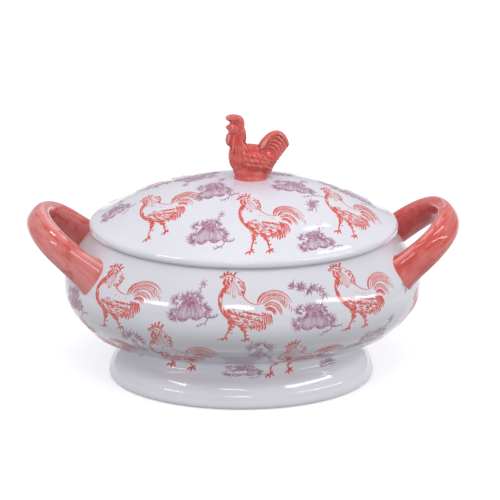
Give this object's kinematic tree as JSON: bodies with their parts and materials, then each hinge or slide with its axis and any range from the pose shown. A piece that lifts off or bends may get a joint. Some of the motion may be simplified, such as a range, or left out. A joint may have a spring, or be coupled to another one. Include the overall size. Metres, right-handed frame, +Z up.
{
  "type": "soup tureen",
  "caption": "Oval pedestal soup tureen with two rising strap handles and a lift-off domed lid carrying a rooster finial, printed with roosters and sprigs.",
  "frame": {"origin": "on the table plane, under the centre of the overall bounding box", "axes": "+Z up; X runs from handle to handle, the rooster on the lid looks towards -X; -Y is the front side shown with the rooster facing left"},
  "size_m": [0.3662, 0.2304, 0.2328],
  "materials": {
    "white_glaze": "glossy white glaze with a faint cool lavender cast, printed roosters in red and sprigs in mauve",
    "coral_glaze": "glossy brushed coral red glaze, darker where it pools"
  },
  "bodies": {
    "tureen": {"bowl": "white_glaze", "pedestal_foot": "white_glaze", "left_handle": "coral_glaze", "right_handle": "coral_glaze"},
    "lid": {"lid": "white_glaze", "lid_flange": "white_glaze", "rooster_finial": "coral_glaze"}
  },
  "joints": [
    {"name": "lid_lift", "type": "slide", "parent": "tureen", "child": "lid", "axis": [0, 0, 1], "range_m": [0, 0.15]}
  ]
}
